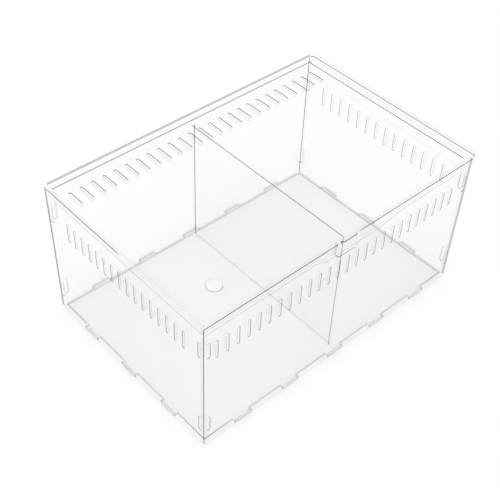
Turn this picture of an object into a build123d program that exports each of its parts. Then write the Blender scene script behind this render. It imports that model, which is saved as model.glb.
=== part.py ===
from build123d import *
from math import cos, radians, sin
import os

# Clear acrylic reptile box: flat panels, corner clips, a lift-off lid and a drop-in divider.
# Millimetres, +Z up, X along the long side, -Y is the front with the finger notch.
# Everything is laid out about the middle of the box, and moved once, at the end,
# so that the origin is the middle of the whole footprint, on the surface it stands on.

# Box
box_length = 300.0
box_depth = 200.0
wall_height = 142.0
sheet = 3.0
foot_corner_radius = 4.0

# Floor panel, which hangs in the walls on its tabs
floor_lift = 2.0
floor_tab_width = 18.0
floor_tab_pitch = 54.0
floor_tab_proud = 1.0
long_side_tab_count = 5
short_side_tab_count = 3
floor_hole_diameter = 16.5
floor_hole_x = -29.0
floor_hole_y = 29.5

# Corner clips, two in each upright corner
clip_thickness = 3.0
clip_height = 16.4
clip_end_margin = 18.1

# Vent slots: each row is spread evenly between its margins from the sheet's two ends
vent_width = 2.0
vent_length = 19.0
vent_below_rim = 21.0
slot_end_sides = 6
front_vent_count = 26
front_vents_from_left = 12.9
front_vents_from_right = 22.8
left_vent_count = 16
left_vents_from_front = 23.0
left_vents_from_back = 29.1
right_vent_count = 14
right_vents_from_front = 25.0
right_vents_from_back = 25.9

# Finger notch in the front panel
notch_width = 26.5
notch_depth = 15.5
notch_radius = 6.0
notch_rise = 2.0
notch_x = -2.6

# Divider
divider_x = 0.0
divider_below_rim = 5.0

# Lid plate
lid_overhang_right = 4.0
lid_corner_radius = 4.0
thumb_tab_width = 17.0
thumb_tab_proud = 3.0
thumb_tab_radius = 2.2
thumb_tab_x = -4.4
lid_vent_length = 17.0
lid_vent_count = 25
lid_vents_from_left = 9.8
lid_vents_from_right = 21.6
lid_vents_from_back = 30.5

# Strips under the lid, which drop inside the walls
strip_height = 12.5
tongue_drop = 4.6
tongue_flat_start = 129.5
tongue_flat_length = 55.0
tongue_left_ramp = 13.0
tongue_right_ramp = 30.0

# Fits
joint_clearance = 0.1
clip_clearance = 0.3
lid_clearance = 0.3
divider_clearance = 0.3

# Places that follow from the sizes
half_length = box_length / 2
half_depth = box_depth / 2
inner_x = half_length - sheet
inner_y = half_depth - sheet
floor_top = floor_lift + sheet
clip_centre_inset = sheet + clip_clearance + clip_thickness / 2
clip_levels = [clip_end_margin + clip_height / 2, wall_height - clip_end_margin - clip_height / 2]
strip_outer_x = inner_x - lid_clearance
strip_outer_y = inner_y - lid_clearance
strip_inner_y = strip_outer_y - sheet


def front_plane(y):
    """A plane facing -Y: its own X is +X and its own Y is +Z."""
    return Plane(origin=(0, y, 0), x_dir=(1, 0, 0), z_dir=(0, -1, 0))


def side_plane(x):
    """A plane facing +X: its own X is +Y and its own Y is +Z."""
    return Plane(origin=(x, 0, 0), x_dir=(0, 1, 0), z_dir=(1, 0, 0))


def spread_row(count, low, high):
    """Evenly spread places, the first at low and the last at high."""
    return [low + i * (high - low) / (count - 1) for i in range(count)]


def centred_row(count, pitch):
    reach = (count - 1) * pitch / 2
    return spread_row(count, -reach, reach)


def round_ended(width, length):
    """An upright outline with round ends, each drawn with few sides because it repeats so often."""
    radius = width / 2
    reach = length / 2 - radius
    points = []
    for middle, start in ((reach, 0), (-reach, 180)):
        for i in range(slot_end_sides + 1):
            turn = radians(start + i * 180 / slot_end_sides)
            points.append((radius * cos(turn), middle + radius * sin(turn)))
    return Polygon(*points, align=None)


def upright_slot(x, z, width, length):
    return Pos(x, z) * round_ended(width, length)


def floor_slots(count):
    """Slots in a wall for the tabs of the floor panel."""
    slots = Sketch()
    for x in centred_row(count, floor_tab_pitch):
        slot = Rectangle(floor_tab_width + 2 * joint_clearance, sheet + 2 * joint_clearance)
        slots += Pos(x, floor_lift + sheet / 2) * slot
    return slots


def clip_slots(half_span):
    """The four slots of a wall for the corner clips."""
    slots = Sketch()
    for side in (-1, 1):
        for level in clip_levels:
            x = side * (half_span - clip_centre_inset)
            slots += upright_slot(
                x, level, clip_thickness + 2 * joint_clearance, clip_height + 2 * joint_clearance
            )
    return slots


def wall_vents(count, low, high):
    slots = Sketch()
    for x in spread_row(count, low, high):
        slots += upright_slot(x, wall_height - vent_below_rim - vent_length / 2, vent_width, vent_length)
    return slots


def long_panel_outline():
    """Front and back panel: they cover the ends of the side panels."""
    outline = Pos(0, wall_height / 2) * Rectangle(box_length, wall_height)
    feet = outline.vertices().group_by(Axis.Y)[0]
    outline = fillet(feet, foot_corner_radius)
    return outline - floor_slots(long_side_tab_count) - clip_slots(half_length)


def finger_notch():
    height = notch_depth + notch_rise
    z = wall_height - notch_depth + height / 2
    return Pos(notch_x, z) * RectangleRounded(notch_width, height, notch_radius)


def front_panel():
    outline = long_panel_outline() - finger_notch()
    first = front_vents_from_left - half_length
    outline -= wall_vents(front_vent_count, first, half_length - front_vents_from_right)
    return extrude(front_plane(-inner_y) * outline, sheet)


def back_panel():
    return extrude(front_plane(half_depth) * long_panel_outline(), sheet)


def side_panel(face_x, vent_count, from_front, from_back):
    """Left or right panel, whose low-X face is at face_x."""
    outline = Pos(0, wall_height / 2) * Rectangle(2 * inner_y, wall_height)
    outline -= floor_slots(short_side_tab_count)
    outline -= clip_slots(half_depth)
    outline -= wall_vents(vent_count, from_front - half_depth, half_depth - from_back)
    return extrude(side_plane(face_x) * outline, sheet)


def left_panel():
    return side_panel(-half_length, left_vent_count, left_vents_from_front, left_vents_from_back)


def right_panel():
    return side_panel(inner_x, right_vent_count, right_vents_from_front, right_vents_from_back)


def bottom_panel():
    outline = Rectangle(2 * inner_x, 2 * inner_y)
    reach = sheet + floor_tab_proud
    for x in centred_row(long_side_tab_count, floor_tab_pitch):
        outline += Pos(x, 0) * Rectangle(floor_tab_width, 2 * (inner_y + reach))
    for y in centred_row(short_side_tab_count, floor_tab_pitch):
        outline += Pos(0, y) * Rectangle(2 * (inner_x + reach), floor_tab_width)
    outline -= Pos(floor_hole_x, floor_hole_y) * Circle(floor_hole_diameter / 2)
    return Pos(0, 0, floor_lift) * extrude(outline, sheet)


def corner_clip():
    """One clip, drawn for the front left corner with the box corner at its own origin."""
    reach = clip_centre_inset + clip_thickness / 2
    section = round_ended(clip_thickness, clip_height)
    front_prong = extrude(front_plane(reach) * (Pos(clip_centre_inset, 0) * section), reach)
    side_prong = extrude(side_plane(0) * (Pos(clip_centre_inset, 0) * section), reach)
    return front_prong + side_prong


def corner_clips():
    """Eight alike clips, a low and a high one in each upright corner, by name."""
    clip = corner_clip()
    corners = {
        "front_left": (0, -1, -1),
        "front_right": (90, 1, -1),
        "back_right": (180, 1, 1),
        "back_left": (270, -1, 1),
    }
    clips = {}
    for corner, (turn, x, y) in corners.items():
        for height, level in zip(("low", "high"), clip_levels):
            place = Pos(x * half_length, y * half_depth, level) * Rot(0, 0, turn)
            clips[f"clip_{corner}_{height}"] = place * clip
    return clips


def divider_panel():
    height = wall_height - divider_below_rim - floor_top
    width = 2 * (strip_inner_y - divider_clearance)
    outline = Pos(0, floor_top + height / 2) * Rectangle(width, height)
    return extrude(side_plane(divider_x - sheet / 2) * outline, sheet)


def lid_plate():
    length = box_length + lid_overhang_right
    middle = lid_overhang_right / 2
    outline = Pos(middle, 0) * RectangleRounded(length, box_depth, lid_corner_radius)
    tab_depth = thumb_tab_proud + lid_corner_radius
    tab = RectangleRounded(thumb_tab_width, 2 * tab_depth, thumb_tab_radius)
    outline += Pos(thumb_tab_x, -half_depth - thumb_tab_proud + tab_depth) * tab
    first = lid_vents_from_left - half_length
    for x in spread_row(lid_vent_count, first, half_length - lid_vents_from_right):
        outline -= upright_slot(x, half_depth - lid_vents_from_back, vent_width, lid_vent_length)
    return Pos(0, 0, wall_height) * extrude(outline, sheet)


def tongue_ramp(start, end, low_at_end):
    """An S curve between the strip's lower edge and the tongue's, as two tangent arcs."""
    high = wall_height - strip_height
    low = high - tongue_drop
    first, last = ((high, low) if low_at_end else (low, high))
    a = Vector(start, first)
    b = Vector(end, last)
    middle = (a + b) * 0.5
    into = TangentArc(a, middle, tangent=(1, 0))
    out = TangentArc(b, middle, tangent=(-1, 0))
    return [into, out]


def lid_strip_front():
    """The front strip, with the tongue that closes the finger notch from inside."""
    high = wall_height - strip_height
    low = high - tongue_drop
    flat_start = tongue_flat_start - half_length
    flat_end = flat_start + tongue_flat_length
    left = flat_start - tongue_left_ramp
    right = flat_end + tongue_right_ramp
    edges = [
        Line((-strip_outer_x, wall_height), (-strip_outer_x, high)),
        Line((-strip_outer_x, high), (left, high)),
        *tongue_ramp(left, flat_start, True),
        Line((flat_start, low), (flat_end, low)),
        *tongue_ramp(flat_end, right, False),
        Line((right, high), (strip_outer_x, high)),
        Line((strip_outer_x, high), (strip_outer_x, wall_height)),
        Line((strip_outer_x, wall_height), (-strip_outer_x, wall_height)),
    ]
    return extrude(front_plane(-strip_inner_y) * make_face(edges), sheet)


def lid_strip_back():
    outline = Pos(0, wall_height - strip_height / 2) * Rectangle(2 * strip_outer_x, strip_height)
    return extrude(front_plane(strip_outer_y) * outline, sheet)


def lid_strip_side(face_x):
    """Left or right strip, between the front and back strips, whose low-X face is at face_x."""
    outline = Pos(0, wall_height - strip_height / 2) * Rectangle(2 * strip_inner_y, strip_height)
    return extrude(side_plane(face_x) * outline, sheet)


def to_frame():
    """Moves the box's middle so that the whole footprint is centred on the origin."""
    low_x = -half_length - floor_tab_proud
    high_x = half_length + max(lid_overhang_right, floor_tab_proud)
    low_y = -half_depth - max(thumb_tab_proud, floor_tab_proud)
    high_y = half_depth + floor_tab_proud
    return Pos(-(low_x + high_x) / 2, -(low_y + high_y) / 2, 0)


pieces = {
    "bottom_panel": bottom_panel(),
    "front_panel": front_panel(),
    "back_panel": back_panel(),
    "left_panel": left_panel(),
    "right_panel": right_panel(),
    **corner_clips(),
    "divider_panel": divider_panel(),
    "lid_plate": lid_plate(),
    "lid_strip_front": lid_strip_front(),
    "lid_strip_back": lid_strip_back(),
    "lid_strip_left": lid_strip_side(-strip_outer_x),
    "lid_strip_right": lid_strip_side(strip_outer_x - sheet),
}

os.makedirs("parts", exist_ok=True)
for name, piece in pieces.items():
    export_step(to_frame() * piece, f"parts/{name}.step")
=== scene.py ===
from math import asin, cos, degrees, inf, pi, radians, sin

import bmesh
import bpy
from mathutils import Matrix, Vector


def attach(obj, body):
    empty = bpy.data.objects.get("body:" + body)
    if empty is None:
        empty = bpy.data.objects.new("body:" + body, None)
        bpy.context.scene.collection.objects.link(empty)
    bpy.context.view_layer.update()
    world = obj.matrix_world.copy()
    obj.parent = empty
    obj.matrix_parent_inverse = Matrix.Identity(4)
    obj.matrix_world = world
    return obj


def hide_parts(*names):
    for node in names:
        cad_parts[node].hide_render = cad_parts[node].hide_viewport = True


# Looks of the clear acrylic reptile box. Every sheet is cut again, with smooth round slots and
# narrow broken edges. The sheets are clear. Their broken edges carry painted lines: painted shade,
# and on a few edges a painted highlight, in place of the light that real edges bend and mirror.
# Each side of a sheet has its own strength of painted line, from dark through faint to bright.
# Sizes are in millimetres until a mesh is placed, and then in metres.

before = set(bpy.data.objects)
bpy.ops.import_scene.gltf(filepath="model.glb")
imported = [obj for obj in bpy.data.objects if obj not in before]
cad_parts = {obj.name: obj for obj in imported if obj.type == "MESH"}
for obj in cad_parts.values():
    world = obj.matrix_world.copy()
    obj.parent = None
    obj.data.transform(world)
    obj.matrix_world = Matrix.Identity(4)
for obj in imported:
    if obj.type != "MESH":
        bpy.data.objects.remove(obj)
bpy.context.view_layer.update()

MM = 0.001

# Sheets
sheet = 3.0
edge_break = 0.38
merge_distance = 0.001
arc_steps = 8

# Box
box_length = 300.0
box_depth = 200.0
wall_height = 142.0
foot_corner_radius = 4.0
inner_length = box_length - 2 * sheet
inner_depth = box_depth - 2 * sheet

# Floor tabs and the slots that they pass through
floor_lift = 2.0
tab_width = 18.0
tab_pitch = 54.0
tab_proud = 1.0
tab_corner = 0.7
tab_corner_steps = 3
long_side_tab_count = 5
short_side_tab_count = 3
joint_gap = 0.1
tab_slot_corner = 0.3

# Drain hole
drain_diameter = 16.5
drain_x = -29.0
drain_y = 29.5
drain_sides = 48

# Corner clips
clip_thickness = 3.0
clip_height = 16.4
clip_inset = 4.8
clip_from_end = 18.1
clip_low = clip_from_end + clip_height / 2
clip_high = wall_height - clip_from_end - clip_height / 2
clip_square_on = 0.98

# Vent slots: how many, and the margins from the sheet's two ends to the first and the last
slot_end_steps = 6
vent_width = 2.0
vent_length = 19.0
vents_below_top = 21.0
vent_middle = wall_height - vents_below_top - vent_length / 2
front_vents = (26, 12.9, 22.8)
left_vents = (16, 23.0, 29.1)
right_vents = (14, 25.0, 25.9)

# Finger notch
notch_x = -2.6
notch_width = 26.5
notch_depth = 15.5
notch_radius = 6.0
notch_rise = 2.0

# Divider
divider_below_rim = 5.0
divider_gap = 0.3

# Lid
lid_gap = 0.3
lid_overhang = 4.0
lid_corner = 4.0
thumb_x = -4.4
thumb_width = 17.0
thumb_proud = 3.0
thumb_radius = 2.2
lid_vents = (25, 9.8, 21.6)
lid_vent_length = 17.0
lid_vent_from_back = 30.5
strip_height = 12.5
strip_low = wall_height - strip_height
strip_reach_x = inner_length / 2 - lid_gap
strip_reach_y = inner_depth / 2 - lid_gap
strip_inner_y = strip_reach_y - sheet
tongue_drop = 4.6
tongue_from_left = 129.5
tongue_start = tongue_from_left - box_length / 2
tongue_length = 55.0
left_ramp = 13.0
right_ramp = 30.0
ramp_steps = 14

# The middle of the box, seen from the middle of the whole part with all that stands out
middle_x = (tab_proud - lid_overhang) / 2
middle_y = (thumb_proud - tab_proud) / 2

# Edge lines: how deep an outer edge goes, and how much of a normal points through the sheet,
# which is more than face_lean on its faces and less than cut_lean on its cut edges
rim_depth = 0.6
face_lean = 0.95
cut_lean = 0.2

# Clear acrylic: its mirroring, its roughness, its fine scratches and its haze
acrylic_ior = 1.49
grazing_mirror = 0.4
mirror_rise = 5.0
rough_scale = 60.0
rough_detail = 4.0
scratch_scale = 500.0
scratch_detail = 2.0
scratch_stretch = (1.0, 9.0, 3.0)
scratch_strength = 0.08
scratch_depth = 0.0001
haze_scale = 14.0
haze_detail = 5.0
haze_stretch = (1.0, 1.0, 1.6)
line_mirror = 0.02
line_rough = (0.1, 0.25)

# Table, backdrop and lamps, in metres and watts
WHITE = (1, 1, 1, 1)
table_reach = 12.0
table_drop = 0.0004
table_grey = 0.55
table_glow = 0.43
backdrop_light = 0.85
backdrop_seen = 1.0
softbox_size = 3.2
left_softbox = ((-2.8, -1.2, 3.6), 52.0)
back_softbox = ((1.8, 3.2, 3.2), 28.0)

# Camera, in metres and degrees, and its lens and sensor in millimetres
camera_place = (-0.42879, -0.43184, 0.64225)
camera_turn = (43.992, -1.943, -41.956)
camera_lens = 67.94
camera_sensor = 36.0
camera_clip_start = 0.05
camera_shift = (-0.002, 0.06)


# Materials


def new_material(name):
    material = bpy.data.materials.new(name)
    material.use_nodes = True
    material.node_tree.nodes.clear()
    return material, material.node_tree.nodes, material.node_tree.links


def noise_over(nodes, links, scale, detail, stretch=(1, 1, 1)):
    """Noise over the piece's own coordinates, as the noise node's value output."""
    place = nodes.new("ShaderNodeTexCoord")
    mapping = nodes.new("ShaderNodeMapping")
    mapping.inputs["Scale"].default_value = stretch
    noise = nodes.new("ShaderNodeTexNoise")
    noise.inputs["Scale"].default_value = scale
    noise.inputs["Detail"].default_value = detail
    links.new(place.outputs["Object"], mapping.inputs["Vector"])
    links.new(mapping.outputs["Vector"], noise.inputs["Vector"])
    return noise.outputs["Fac"]


def spread(nodes, links, value, low, high, from_low=0.3, from_high=0.7):
    """Maps a value to a range. The values of a noise lie mostly between 0.3 and 0.7."""
    span = nodes.new("ShaderNodeMapRange")
    span.inputs["From Min"].default_value = from_low
    span.inputs["From Max"].default_value = from_high
    span.inputs["To Min"].default_value = low
    span.inputs["To Max"].default_value = high
    links.new(value, span.inputs["Value"])
    return span.outputs["Result"]


def mirror_share(nodes, links, head_on):
    """How much a clear surface mirrors: head_on when seen square, rising at grazing angles."""
    weight = nodes.new("ShaderNodeLayerWeight")
    weight.inputs["Blend"].default_value = 0.5
    power = nodes.new("ShaderNodeMath")
    power.operation = "POWER"
    power.inputs[1].default_value = mirror_rise
    links.new(weight.outputs["Facing"], power.inputs[0])
    return spread(nodes, links, power.outputs[0], head_on, grazing_mirror, 0.0, 1.0)


def clear_material(name, passes, surface_colour, head_on, haze, rough):
    """Clear acrylic. passes tints the light that it lets through, head_on is how much it mirrors
    when seen square, and haze and rough are the ranges of its milkiness and its roughness."""
    material, nodes, links = new_material(name)
    output = nodes.new("ShaderNodeOutputMaterial")
    through = nodes.new("ShaderNodeBsdfTransparent")
    through.inputs["Color"].default_value = (*passes, 1)
    surface = nodes.new("ShaderNodeBsdfPrincipled")
    surface.inputs["Base Color"].default_value = (*surface_colour, 1)
    surface.inputs["IOR"].default_value = acrylic_ior
    wear = noise_over(nodes, links, rough_scale, rough_detail)
    links.new(spread(nodes, links, wear, *rough), surface.inputs["Roughness"])
    scratches = noise_over(nodes, links, scratch_scale, scratch_detail, scratch_stretch)
    relief = nodes.new("ShaderNodeBump")
    relief.inputs["Strength"].default_value = scratch_strength
    relief.inputs["Distance"].default_value = scratch_depth
    links.new(scratches, relief.inputs["Height"])
    links.new(relief.outputs["Normal"], surface.inputs["Normal"])
    cloud = noise_over(nodes, links, haze_scale, haze_detail, haze_stretch)
    share = nodes.new("ShaderNodeMath")
    share.operation = "ADD"
    share.use_clamp = True
    links.new(mirror_share(nodes, links, head_on), share.inputs[0])
    links.new(spread(nodes, links, cloud, *haze), share.inputs[1])
    mix = nodes.new("ShaderNodeMixShader")
    links.new(share.outputs[0], mix.inputs["Fac"])
    links.new(through.outputs[0], mix.inputs[1])
    links.new(surface.outputs[0], mix.inputs[2])
    links.new(mix.outputs[0], output.inputs["Surface"])
    return material


def painted_line_material(name, passes, surface_colour, haze):
    """A broken or cut edge painted as a line of shade, or as a milky white painted highlight."""
    return clear_material(name, passes, surface_colour, line_mirror, haze, line_rough)


polished_face = clear_material(
    "polished_face", (0.994, 0.995, 0.995), (0.97, 0.97, 0.97), 0.005, (0.0, 0.005), (0.02, 0.07)
)
floor_face = clear_material(
    "floor_face", (0.977, 0.979, 0.979), (0.96, 0.96, 0.96), 0.01, (0.0, 0.006), (0.02, 0.06)
)
cut_edge = clear_material(
    "cut_edge", (0.998, 0.998, 0.998), (1.0, 1.0, 1.0), 0.005, (0.0, 0.012), (0.15, 0.35)
)
# Painted edge lines: lit and shaded copies of one material. Dark through faint are painted shade,
# standing in for the dark that real edges mirror and bend, and the bright one is a painted
# highlight.
dark_painted_shade = painted_line_material("dark_painted_shade", (0.015, 0.016, 0.017), (0.1, 0.105, 0.11), (0.04, 0.1))
soft_painted_shade = painted_line_material("soft_painted_shade", (0.35, 0.36, 0.37), (0.35, 0.36, 0.37), (0.04, 0.1))
mid_painted_shade = painted_line_material("mid_painted_shade", (0.58, 0.59, 0.595), (0.6, 0.61, 0.615), (0.03, 0.08))
pale_painted_shade = painted_line_material("pale_painted_shade", (0.8, 0.81, 0.81), (0.8, 0.81, 0.81), (0.02, 0.06))
faint_painted_shade = painted_line_material("faint_painted_shade", (0.93, 0.935, 0.935), (0.93, 0.935, 0.935), (0.01, 0.04))
painted_highlight_line = painted_line_material("painted_highlight_line", (0.998, 0.998, 0.998), (1.0, 1.0, 1.0), (0.5, 0.7))
LINES = {
    "clear": cut_edge,
    "bright": painted_highlight_line,
    "dark": dark_painted_shade,
    "soft": soft_painted_shade,
    "mid": mid_painted_shade,
    "pale": pale_painted_shade,
    "faint": faint_painted_shade,
}


# Flat outlines


def arc(x, y, radius, start, end, steps=arc_steps):
    """Points on an arc, its angles in degrees."""
    turns = [radians(start + (end - start) * i / steps) for i in range(steps + 1)]
    return [(x + radius * cos(a), y + radius * sin(a)) for a in turns]


def rectangle(x_low, x_high, y_low, y_high):
    return [(x_low, y_low), (x_high, y_low), (x_high, y_high), (x_low, y_high)]


def long_wall_outline(top):
    """Front and back wall: round feet, and the given points along the top from right to left."""
    half = box_length / 2
    r = foot_corner_radius
    left_foot = arc(-half + r, r, r, 180, 270)
    right_foot = arc(half - r, r, r, 270, 360)
    return left_foot + right_foot + [(half, wall_height)] + top + [(-half, wall_height)]


def finger_notch():
    """The notch's edge from its right lip, down, across and up to its left lip."""
    r = notch_radius
    reach = notch_width / 2 - r
    upper = wall_height + notch_rise - r
    lower = wall_height - notch_depth + r
    lip = degrees(asin((wall_height - upper) / r))
    return (
        arc(notch_x + reach, upper, r, lip, 0)
        + arc(notch_x + reach, lower, r, 0, -90)
        + arc(notch_x - reach, lower, r, -90, -180)
        + arc(notch_x - reach, upper, r, 180, 180 - lip)
    )


def tab_run(length, depth, count, turn):
    """One side of the floor sheet, with its tabs: the side faces -Y before it is turned."""
    tip = -depth / 2 - sheet - tab_proud
    r = tab_corner
    points = []
    for i in range(count):
        x = (i - (count - 1) / 2) * tab_pitch
        low = x - tab_width / 2
        high = x + tab_width / 2
        points.append((low, -depth / 2))
        points += arc(low + r, tip + r, r, 180, 270, tab_corner_steps)
        points += arc(high - r, tip + r, r, 270, 360, tab_corner_steps)
        points.append((high, -depth / 2))
    points.append((length / 2, -depth / 2))
    spin = radians(turn)
    return [(x * cos(spin) - y * sin(spin), x * sin(spin) + y * cos(spin)) for x, y in points]


def floor_outline():
    long_side = (inner_length, inner_depth, long_side_tab_count)
    short_side = (inner_depth, inner_length, short_side_tab_count)
    points = tab_run(*long_side, 0) + tab_run(*short_side, 90)
    return points + tab_run(*long_side, 180) + tab_run(*short_side, 270)


def drain_outline():
    """The round hole, without the point that would close it on its first."""
    last = drain_sides - 1
    return arc(drain_x, drain_y, drain_diameter / 2, 0, 360 - 360 / drain_sides, last)


def lid_outline():
    right = box_length / 2 + lid_overhang
    left = -box_length / 2
    front = -box_depth / 2
    back = box_depth / 2
    r = lid_corner
    low = thumb_x - thumb_width / 2
    high = thumb_x + thumb_width / 2
    tip = front - thumb_proud
    t = thumb_radius
    return (
        arc(left + r, front + r, r, 180, 270)
        + [(low, front)]
        + arc(low + t, tip + t, t, 180, 270)
        + arc(high - t, tip + t, t, 270, 360)
        + [(high, front)]
        + arc(right - r, front + r, r, 270, 360)
        + arc(right - r, back - r, r, 0, 90)
        + arc(left + r, back - r, r, 90, 180)
    )


def s_curve(start, end):
    """Points of an S between two levels, without its first point."""
    (x0, y0), (x1, y1) = start, end
    points = []
    for i in range(1, ramp_steps + 1):
        t = i / ramp_steps
        points.append((x0 + (x1 - x0) * t, y0 + (y1 - y0) * (1 - cos(pi * t)) / 2))
    return points


def tongue_outline():
    """The front strip: its lower edge dips to a tongue behind the finger notch."""
    dip = strip_low - tongue_drop
    flat_end = tongue_start + tongue_length
    points = [(-strip_reach_x, wall_height), (-strip_reach_x, strip_low)]
    points.append((tongue_start - left_ramp, strip_low))
    points += s_curve(points[-1], (tongue_start, dip))
    points.append((flat_end, dip))
    points += s_curve(points[-1], (flat_end + right_ramp, strip_low))
    return points + [(strip_reach_x, strip_low), (strip_reach_x, wall_height)]


# Geometry Nodes: a row of slots, and a sheet that is cut from an outline and such rows


ROWS = ("Vent", "Tab Slot", "Low Clip Slot", "High Clip Slot")
ROW_LENGTHS = ("First", "Pitch", "Level", "Width", "Length", "End Radius")
ROW_SIZES = ("Count", *ROW_LENGTHS)


def add_input(tree, name, kind, value):
    socket = tree.interface.new_socket(name=name, in_out="INPUT", socket_type=kind)
    socket.default_value = value


def add_row_inputs(tree, row=""):
    """The sizes of a row of slots. A row whose count is left at 0 isn't cut."""
    add_input(tree, f"{row}Count", "NodeSocketInt", 0)
    for size in ROW_LENGTHS:
        add_input(tree, f"{row}{size}", "NodeSocketFloat", 1.0)


def slot_row_tree():
    """A level row of alike slots with round ends, as closed curves."""
    tree = bpy.data.node_groups.new("slot_row", "GeometryNodeTree")
    add_row_inputs(tree)
    tree.interface.new_socket(name="Curves", in_out="OUTPUT", socket_type="NodeSocketGeometry")
    nodes, links = tree.nodes, tree.links
    given = nodes.new("NodeGroupInput")
    result = nodes.new("NodeGroupOutput")
    shape = nodes.new("GeometryNodeCurvePrimitiveQuadrilateral")
    rounded = nodes.new("GeometryNodeFilletCurve")
    rounded.mode = "POLY"
    rounded.inputs["Count"].default_value = slot_end_steps
    rounded.inputs["Limit Radius"].default_value = True
    start = nodes.new("ShaderNodeCombineXYZ")
    step = nodes.new("ShaderNodeCombineXYZ")
    places = nodes.new("GeometryNodeMeshLine")
    places.mode = "OFFSET"
    copies = nodes.new("GeometryNodeInstanceOnPoints")
    real = nodes.new("GeometryNodeRealizeInstances")
    links.new(given.outputs["Width"], shape.inputs["Width"])
    links.new(given.outputs["Length"], shape.inputs["Height"])
    links.new(shape.outputs["Curve"], rounded.inputs["Curve"])
    links.new(given.outputs["End Radius"], rounded.inputs["Radius"])
    links.new(given.outputs["First"], start.inputs["X"])
    links.new(given.outputs["Level"], start.inputs["Y"])
    links.new(given.outputs["Pitch"], step.inputs["X"])
    links.new(given.outputs["Count"], places.inputs["Count"])
    links.new(start.outputs[0], places.inputs["Start Location"])
    links.new(step.outputs[0], places.inputs["Offset"])
    links.new(places.outputs["Mesh"], copies.inputs["Points"])
    links.new(rounded.outputs["Curve"], copies.inputs["Instance"])
    links.new(copies.outputs["Instances"], real.inputs["Geometry"])
    links.new(real.outputs["Geometry"], result.inputs["Curves"])
    return tree


def cut_sheet_tree(slot_row):
    """Fills the outline less its slots, and gives the result its thickness."""
    tree = bpy.data.node_groups.new("cut_sheet", "GeometryNodeTree")
    tree.interface.new_socket(name="Outline", in_out="INPUT", socket_type="NodeSocketGeometry")
    add_input(tree, "Thickness", "NodeSocketFloat", sheet)
    for row in ROWS:
        add_row_inputs(tree, f"{row} ")
    tree.interface.new_socket(name="Sheet", in_out="OUTPUT", socket_type="NodeSocketGeometry")
    nodes, links = tree.nodes, tree.links
    given = nodes.new("NodeGroupInput")
    result = nodes.new("NodeGroupOutput")
    edge = nodes.new("GeometryNodeMeshToCurve")
    loops = nodes.new("GeometryNodeJoinGeometry")
    links.new(given.outputs["Outline"], edge.inputs["Mesh"])
    links.new(edge.outputs["Curve"], loops.inputs["Geometry"])
    for row in ROWS:
        slots = nodes.new("GeometryNodeGroup")
        slots.node_tree = slot_row
        for size in ROW_SIZES:
            links.new(given.outputs[f"{row} {size}"], slots.inputs[size])
        links.new(slots.outputs["Curves"], loops.inputs["Geometry"])
    fill = nodes.new("GeometryNodeFillCurve")
    links.new(loops.outputs["Geometry"], fill.inputs["Curve"])
    rise = nodes.new("ShaderNodeCombineXYZ")
    links.new(given.outputs["Thickness"], rise.inputs["Z"])
    thick = nodes.new("GeometryNodeExtrudeMesh")
    thick.inputs["Individual"].default_value = False
    links.new(fill.outputs["Mesh"], thick.inputs["Mesh"])
    links.new(rise.outputs[0], thick.inputs["Offset"])
    under = nodes.new("GeometryNodeFlipFaces")
    links.new(fill.outputs["Mesh"], under.inputs["Mesh"])
    whole = nodes.new("GeometryNodeJoinGeometry")
    links.new(under.outputs["Mesh"], whole.inputs["Geometry"])
    links.new(thick.outputs["Mesh"], whole.inputs["Geometry"])
    closed = nodes.new("GeometryNodeMergeByDistance")
    closed.inputs["Distance"].default_value = merge_distance
    links.new(whole.outputs["Geometry"], closed.inputs["Geometry"])
    real = nodes.new("GeometryNodeRealizeInstances")
    links.new(closed.outputs["Geometry"], real.inputs["Geometry"])
    acrylic = nodes.new("GeometryNodeSetMaterial")
    acrylic.inputs["Material"].default_value = polished_face
    links.new(real.outputs["Geometry"], acrylic.inputs["Geometry"])
    links.new(acrylic.outputs["Geometry"], result.inputs["Sheet"])
    return tree


cut_sheet = cut_sheet_tree(slot_row_tree())


# Rows of slots


def vent_row(vents, span, level, length):
    count, low_margin, high_margin = vents
    return {
        "Count": count,
        "First": low_margin - span / 2,
        "Pitch": (span - low_margin - high_margin) / (count - 1),
        "Level": level,
        "Width": vent_width,
        "Length": length,
        "End Radius": vent_width / 2,
    }


def tab_slot_row(count):
    return {
        "Count": count,
        "First": -(count - 1) * tab_pitch / 2,
        "Pitch": tab_pitch,
        "Level": floor_lift + sheet / 2,
        "Width": tab_width + 2 * joint_gap,
        "Length": sheet + 2 * joint_gap,
        "End Radius": tab_slot_corner,
    }


def clip_slot_row(span, level):
    return {
        "Count": 2,
        "First": -span / 2 + clip_inset,
        "Pitch": span - 2 * clip_inset,
        "Level": level,
        "Width": clip_thickness + 2 * joint_gap,
        "Length": clip_height + 2 * joint_gap,
        "End Radius": clip_thickness / 2,
    }


def wall_rows(span, tab_count, vents=None):
    """The slots of a wall: for the floor tabs, for the clips, and its vents if it has any."""
    rows = {
        "Tab Slot": tab_slot_row(tab_count),
        "Low Clip Slot": clip_slot_row(span, clip_low),
        "High Clip Slot": clip_slot_row(span, clip_high),
    }
    if vents:
        rows["Vent"] = vent_row(vents, span, vent_middle, vent_length)
    return rows


# Edge lines, painted as shade and highlight


# The outer edges of a sheet as it lies flat, and the edges of all that is cut into it
SIDES = ("left", "right", "low", "high", "slots")


def side_lines(usual="faint", **kinds):
    """How strong a painted line each edge of one face of a sheet gets."""
    return {**dict.fromkeys(SIDES, usual), **kinds}


def edge_of(place, low, high, rim):
    """The name of the outer edge that a point of a sheet lies on, or slots."""
    if place.x < low.x + rim:
        return "left"
    if place.x > high.x - rim:
        return "right"
    if place.y < low.y + rim:
        return "low"
    if place.y > high.y - rim:
        return "high"
    return "slots"


def kind_of_line(looks, part, place, low, high):
    """How strong the painted line of one cut or broken edge is. A spot overrides the side that it
    lies on.
    """
    for spot_part, x_low, x_high, y_low, y_high, kind in looks["spots"]:
        if part == spot_part and x_low < place.x < x_high and y_low < place.y < y_high:
            return kind
    return looks[part][edge_of(place, low, high, looks["rim"])]


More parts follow.
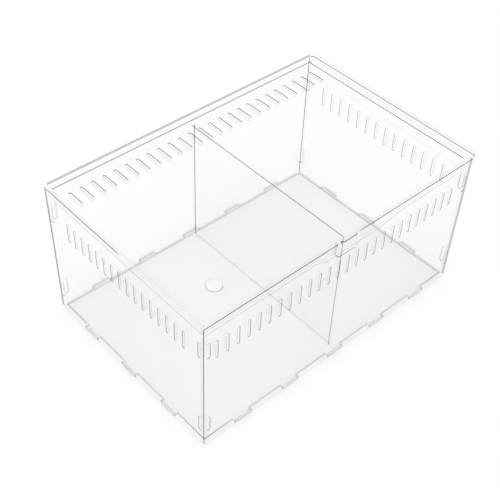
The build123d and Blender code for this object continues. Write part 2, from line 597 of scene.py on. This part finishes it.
def draw_edge_lines(mesh, looks):
    """Gives the faces, the cut edges and the narrow broken edges between them their materials: the
    painted lines of shade and highlight go on the edges.
    """
    names = list(LINES)
    mesh.materials.clear()
    for material in (looks["face"], *LINES.values()):
        mesh.materials.append(material)
    places = [v.co for v in mesh.vertices]
    low = Vector(min(p[i] for p in places) for i in range(3))
    high = Vector(max(p[i] for p in places) for i in range(3))
    for face in mesh.polygons:
        lean = face.normal.z
        if abs(lean) > face_lean:
            face.material_index = 0
            continue
        part = "cuts" if abs(lean) < cut_lean else "front" if lean > 0 else "back"
        kind = kind_of_line(looks, part, face.center, low, high)
        face.material_index = 1 + names.index(kind)


# Making a sheet


def loops_mesh(name, loops):
    """Closed outlines as a mesh of edges alone."""
    points = []
    edges = []
    for loop in loops:
        first = len(points)
        points += [(x, y, 0.0) for x, y in loop]
        edges += [(first + i, first + (i + 1) % len(loop)) for i in range(len(loop))]
    mesh = bpy.data.meshes.new(name)
    mesh.from_pydata(points, edges, [])
    return mesh


def add_object(name, data):
    piece = bpy.data.objects.new(name, data)
    bpy.context.scene.collection.objects.link(piece)
    return piece


def set_inputs(modifier, values):
    for item in modifier.node_group.interface.items_tree:
        if item.in_out == "INPUT" and item.name in values:
            modifier[item.identifier] = values[item.name]


def break_edges(piece, segments, sharp):
    """A narrow bevel where the surface turns by more than sharp, in degrees."""
    bevel = piece.modifiers.new("broken_edges", "BEVEL")
    bevel.width = edge_break
    bevel.segments = segments
    bevel.limit_method = "ANGLE"
    bevel.angle_limit = radians(sharp)
    return bevel


def finished_mesh(piece, name):
    """The piece's mesh with its modifiers applied. The piece itself is removed."""
    depsgraph = bpy.context.evaluated_depsgraph_get()
    mesh = bpy.data.meshes.new_from_object(piece.evaluated_get(depsgraph))
    mesh.name = name
    old = piece.data
    bpy.data.objects.remove(piece)
    bpy.data.meshes.remove(old)
    return mesh


def make_sheet(name, loops, place, rows, looks):
    """A sheet cut from flat loops, with its edges broken and its lines drawn, placed in metres."""
    piece = add_object(name, loops_mesh(name, loops))
    cutter = piece.modifiers.new("cut", "NODES")
    cutter.node_group = cut_sheet
    values = {"Thickness": sheet}
    for row, sizes in rows.items():
        for size, value in sizes.items():
            values[f"{row} {size}"] = value
    set_inputs(cutter, values)
    break_edges(piece, segments=2, sharp=40).use_clamp_overlap = False
    mesh = finished_mesh(piece, name)
    draw_edge_lines(mesh, looks)
    mesh.transform(place)
    return mesh


def in_frame(x=0.0, y=0.0, z=0.0):
    """A move in millimetres about the middle of the box, as a matrix in metres."""
    move = ((middle_x + x) * MM, (middle_y + y) * MM, z * MM)
    return Matrix.Translation(move) @ Matrix.Scale(MM, 4)


# How a flat sheet is stood up, along the box and across it
STANDING_LONG = Matrix(((1, 0, 0, 0), (0, 0, -1, 0), (0, 1, 0, 0), (0, 0, 0, 1)))
STANDING_ACROSS = Matrix(((0, 0, 1, 0), (1, 0, 0, 0), (0, 1, 0, 0), (0, 0, 0, 1)))


def long_sheet_at(y):
    """Stands along the box. The sheet goes from y towards the front."""
    return in_frame(y=y) @ STANDING_LONG


def cross_sheet_at(x):
    """Stands across the box. The sheet goes from x towards the right."""
    return in_frame(x=x) @ STANDING_ACROSS


def add_piece(name, mesh, body, slot_name, *nodes):
    piece = add_object(name, mesh)
    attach(piece, body)
    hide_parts(*nodes)


def add_sheet(node, body, loops, place, back, front, cuts=None, rows=None, **others):
    """Takes the place of one solid. back has the painted edge lines of the face that the sheet
    starts from, front those of the other face, and cuts those sides whose cut edge isn't clear.
    others may give a face material, a deeper rim, and spots with a painted line of their own."""
    name = f"clear_{node}"
    looks = {"face": polished_face, "rim": rim_depth, "spots": (), **others}
    looks.update(back=back, front=front, cuts=side_lines("clear", **(cuts or {})))
    mesh = make_sheet(name, loops, place, rows or {}, looks)
    add_piece(name, mesh, body, "clear_sheet", node)


# Each sheet below gives its edges painted lines of shade, dark where an edge looks dark from the
# camera's side and faint where it hardly shows.
plain = side_lines()


# Front and back wall


# A spot reaches past what it covers. The notch's left part gets the darkest painted shade. Its
# middle gets a softer one, and its right part and the rim beside it only a faint one.
spot_margin = 1.0
notch_left_part_end = notch_x - 9.0
notch_right_part_start = notch_x + 8.0
faint_rim_length = 8.0
notch_left = notch_x - notch_width / 2 - spot_margin
notch_right = notch_x + notch_width / 2 + faint_rim_length
notch_levels = (wall_height - notch_depth - spot_margin, wall_height + spot_margin)
notch_spots = (
    ("cuts", notch_left, notch_left_part_end, *notch_levels, "pale"),
    ("front", notch_left, notch_left_part_end, *notch_levels, "dark"),
    ("front", notch_left_part_end, notch_right_part_start, *notch_levels, "soft"),
    ("front", notch_right_part_start, notch_right, *notch_levels, "faint"),
)

add_sheet(
    "front_panel",
    "box",
    [long_wall_outline(finger_notch())],
    long_sheet_at(-inner_depth / 2),
    back=plain,
    front=side_lines(left="dark", high="dark", low="pale", slots="soft"),
    cuts={"right": "mid"},
    rows=wall_rows(box_length, long_side_tab_count, front_vents),
    spots=notch_spots,
)
add_sheet(
    "back_panel",
    "box",
    [long_wall_outline([])],
    long_sheet_at(box_depth / 2),
    back=side_lines(right="dark", low="pale"),
    front=side_lines(slots="mid"),
    cuts={"left": "soft"},
    rows=wall_rows(box_length, long_side_tab_count),
)


# Left and right wall


side_outline = rectangle(-inner_depth / 2, inner_depth / 2, 0.0, wall_height)

# The front half of the left wall's rim gets a painted highlight, and the back half dark painted
# shade
rim_split = (0.0, wall_height)
rim_levels = (wall_height - spot_margin, wall_height + spot_margin)

add_sheet(
    "left_panel",
    "box",
    [side_outline[:3] + [rim_split] + side_outline[3:]],
    cross_sheet_at(-box_length / 2),
    back=side_lines(high="dark", low="pale", slots="soft"),
    front=plain,
    rows=wall_rows(box_depth, short_side_tab_count, left_vents),
    spots=(("back", -inf, rim_split[0], *rim_levels, "bright"),),
)
add_sheet(
    "right_panel",
    "box",
    [side_outline],
    cross_sheet_at(inner_length / 2),
    back=side_lines(slots="soft"),
    front=side_lines(low="pale", high="dark"),
    rows=wall_rows(box_depth, short_side_tab_count, right_vents),
)


# Floor


# The flanks of the floor tabs get only faint painted shade. At the front and the left, their tips
# get a painted highlight on their cut ends and dark painted shade along their lower edges
flank_reach = 0.4
flank_x = (inner_length / 2 + rim_depth, box_length / 2 + flank_reach)
flank_y = (inner_depth / 2 + rim_depth, box_depth / 2 + flank_reach)
tab_flanks = (
    (-inf, inf, -flank_y[1], -flank_y[0]),
    (-inf, inf, *flank_y),
    (-flank_x[1], -flank_x[0], -inf, inf),
    (*flank_x, -inf, inf),
)
tab_tips = (
    (-inf, inf, -inf, -box_depth / 2 - rim_depth),
    (-inf, -box_length / 2 - rim_depth, -inf, inf),
)
tab_spots = [(part, *flank, "faint") for part in ("front", "back", "cuts") for flank in tab_flanks]
tab_spots += [("cuts", *tip, "bright") for tip in tab_tips]
tab_spots += [("back", *tip, "dark") for tip in tab_tips]

add_sheet(
    "bottom_panel",
    "box",
    [floor_outline(), drain_outline()],
    in_frame(z=floor_lift),
    back=side_lines("soft"),
    front=side_lines(right="dark", high="dark"),
    cuts={"left": "mid", "low": "mid"},
    face=floor_face,
    rim=sheet + tab_proud + rim_depth,
    spots=tab_spots,
)


# Divider


divider_reach = strip_inner_y - divider_gap
divider_levels = (floor_lift + sheet, wall_height - divider_below_rim)

add_sheet(
    "divider_panel",
    "divider",
    [rectangle(-divider_reach, divider_reach, *divider_levels)],
    cross_sheet_at(-sheet / 2),
    back=side_lines(high="dark", left="soft"),
    front=side_lines(right="dark", low="mid"),
)


# Lid


# The thumb tab's cut edge gets a painted highlight, apart from its left end, which gets painted
# shade, and its upper edge gets dark painted shade
thumb_end_line = 1.5
thumb_root_gap = 0.3
thumb_left = thumb_x - thumb_width / 2 - spot_margin
thumb_right = thumb_x + thumb_width / 2 + spot_margin
thumb_span = (-box_depth / 2 - thumb_proud - spot_margin, -box_depth / 2 - thumb_root_gap)
thumb_spots = (
    ("cuts", thumb_left, thumb_left + thumb_end_line, *thumb_span, "soft"),
    ("cuts", thumb_left + thumb_end_line, thumb_right, *thumb_span, "bright"),
    ("front", thumb_left, thumb_right, *thumb_span, "dark"),
)
lid_vent_level = box_depth / 2 - lid_vent_from_back

add_sheet(
    "lid_plate",
    "lid",
    [lid_outline()],
    in_frame(z=wall_height),
    back=side_lines(right="dark", slots="pale"),
    front=side_lines(right="dark", high="dark", slots="dark"),
    cuts={"high": "mid"},
    rows={"Vent": vent_row(lid_vents, box_length, lid_vent_level, lid_vent_length)},
    rim=thumb_proud + rim_depth,
    spots=thumb_spots,
)
add_sheet(
    "lid_strip_front",
    "lid",
    [tongue_outline()],
    long_sheet_at(-strip_inner_y),
    back=plain,
    front=side_lines(low="dark", slots="dark"),
)
add_sheet(
    "lid_strip_back",
    "lid",
    [rectangle(-strip_reach_x, strip_reach_x, strip_low, wall_height)],
    long_sheet_at(strip_reach_y),
    back=plain,
    front=side_lines(high="dark"),
)
for side, x, line in (("left", -strip_reach_x, "low"), ("right", strip_reach_x - sheet, "high")):
    add_sheet(
        f"lid_strip_{side}",
        "lid",
        [rectangle(-strip_inner_y, strip_inner_y, strip_low, wall_height)],
        cross_sheet_at(x),
        back=side_lines(**{line: "dark"}),
        front=plain,
    )


# Corner clips


def round_bar(name, length):
    """An upright bar with round top and bottom, lying along +Y from the origin, in millimetres."""
    r = clip_thickness / 2
    half = clip_height / 2 - r
    outline = arc(0, half, r, 0, 180) + arc(0, -half, r, 180, 360)
    mesh = bpy.data.meshes.new(name)
    b = bmesh.new()
    face = b.faces.new([b.verts.new((x, 0.0, z)) for x, z in outline])
    pushed = bmesh.ops.extrude_face_region(b, geom=[face])["geom"]
    tips = [v for v in pushed if isinstance(v, bmesh.types.BMVert)]
    bmesh.ops.translate(b, vec=(0, length, 0), verts=tips)
    bmesh.ops.recalc_face_normals(b, faces=b.faces)
    b.to_mesh(mesh)
    b.free()
    return mesh


def clip_mesh():
    """The L-shaped clip, with the box corner at its own origin, in millimetres."""
    reach = clip_inset + clip_thickness / 2
    front = round_bar("clip_front_prong", reach)
    front.transform(Matrix.Translation((clip_inset, 0, 0)))
    side = round_bar("clip_side_prong", reach)
    side.transform(Matrix.Translation((0, clip_inset, 0)) @ Matrix.Rotation(radians(-90), 4, "Z"))
    clip = add_object("clip", front)
    other = add_object("clip_other", side)
    join = clip.modifiers.new("join", "BOOLEAN")
    join.operation = "UNION"
    join.object = other
    join.solver = "EXACT"
    break_edges(clip, segments=1, sharp=50)
    mesh = finished_mesh(clip, "clip")
    bpy.data.objects.remove(other)
    bpy.data.meshes.remove(side)
    return mesh


def draw_clip_lines(mesh):
    """Clear all over, with a faint line of painted shade round each tip, which lies flush with a
    wall's outside.
    """
    mesh.materials.clear()
    for material in (polished_face, faint_painted_shade):
        mesh.materials.append(material)
    for face in mesh.polygons:
        at_tip = min(face.center.x, face.center.y) < edge_break
        square_on = max(abs(face.normal.x), abs(face.normal.y)) > clip_square_on
        face.material_index = 1 if at_tip and not square_on else 0


clip_shape = clip_mesh()
draw_clip_lines(clip_shape)
corners = {
    "front_left": (0, -1, -1),
    "front_right": (90, 1, -1),
    "back_right": (180, 1, 1),
    "back_left": (270, -1, 1),
}
for corner, (turn, x, y) in corners.items():
    for height, level in (("low", clip_low), ("high", clip_high)):
        mesh = clip_shape.copy()
        place = in_frame(x * box_length / 2, y * box_depth / 2, level)
        mesh.transform(place @ Matrix.Rotation(radians(turn), 4, "Z"))
        name = f"clip_{corner}_{height}"
        add_piece(f"clear_{name}", mesh, "box", "clear_clip", name)
bpy.data.meshes.remove(clip_shape)


# Table, backdrop, lamps and camera


def seen_directly(nodes, links):
    """1 for what the camera, mirrors and glass see, and 0 for light that falls on things."""
    path = nodes.new("ShaderNodeLightPath")
    total = path.outputs["Is Camera Ray"]
    for name in ("Is Glossy Ray", "Is Transmission Ray"):
        add = nodes.new("ShaderNodeMath")
        add.operation = "ADD"
        add.use_clamp = True
        links.new(total, add.inputs[0])
        links.new(path.outputs[name], add.inputs[1])
        total = add.outputs[0]
    return total


def table_material():
    """A pale matt table that keeps the box's shadow and shows as white."""
    material, nodes, links = new_material("pale_table")
    output = nodes.new("ShaderNodeOutputMaterial")
    matt = nodes.new("ShaderNodeBsdfDiffuse")
    matt.inputs["Color"].default_value = (table_grey, table_grey, table_grey, 1)
    glow = nodes.new("ShaderNodeEmission")
    glow.inputs["Color"].default_value = WHITE
    strength = nodes.new("ShaderNodeMath")
    strength.operation = "MULTIPLY"
    strength.inputs[1].default_value = table_glow
    links.new(seen_directly(nodes, links), strength.inputs[0])
    links.new(strength.outputs[0], glow.inputs["Strength"])
    both = nodes.new("ShaderNodeAddShader")
    links.new(matt.outputs[0], both.inputs[0])
    links.new(glow.outputs[0], both.inputs[1])
    links.new(both.outputs[0], output.inputs["Surface"])
    return material


def add_table():
    mesh = bpy.data.meshes.new("table")
    square = rectangle(-table_reach, table_reach, -table_reach, table_reach)
    mesh.from_pydata([(x, y, -table_drop) for x, y in square], [], [(0, 1, 2, 3)])
    mesh.materials.append(table_material())
    add_object("table", mesh)


def add_backdrop():
    """White where it is seen, and a little less bright as a light."""
    world = bpy.data.worlds.new("studio")
    bpy.context.scene.world = world
    world.use_nodes = True
    nodes, links = world.node_tree.nodes, world.node_tree.links
    nodes.clear()
    output = nodes.new("ShaderNodeOutputWorld")
    mix = nodes.new("ShaderNodeMixShader")
    links.new(seen_directly(nodes, links), mix.inputs["Fac"])
    for socket, strength in ((1, backdrop_light), (2, backdrop_seen)):
        white = nodes.new("ShaderNodeBackground")
        white.inputs["Color"].default_value = WHITE
        white.inputs["Strength"].default_value = strength
        links.new(white.outputs[0], mix.inputs[socket])
    links.new(mix.outputs[0], output.inputs["Surface"])


def add_softbox(name, place, power):
    """A square lamp that looks at the middle of the box's foot."""
    lamp = bpy.data.lights.new(name, "AREA")
    lamp.shape = "SQUARE"
    lamp.size = softbox_size
    lamp.energy = power
    softbox = add_object(name, lamp)
    softbox.location = place
    softbox.rotation_euler = (-Vector(place)).to_track_quat("-Z", "Y").to_euler()


def add_camera():
    camera = bpy.data.cameras.new("camera")
    camera.lens = camera_lens
    camera.sensor_width = camera_sensor
    camera.shift_x, camera.shift_y = camera_shift
    camera.clip_start = camera_clip_start
    holder = add_object("camera", camera)
    holder.location = camera_place
    holder.rotation_euler = [radians(turn) for turn in camera_turn]
    bpy.context.scene.camera = holder


add_table()
add_backdrop()
add_softbox("softbox_left", *left_softbox)
add_softbox("softbox_back", *back_softbox)
add_camera()

scene = bpy.context.scene
scene.view_settings.view_transform = "Standard"

# A line of sight crosses many clear sheets
scene.cycles.transparent_max_bounces = 96
scene.cycles.max_bounces = 16
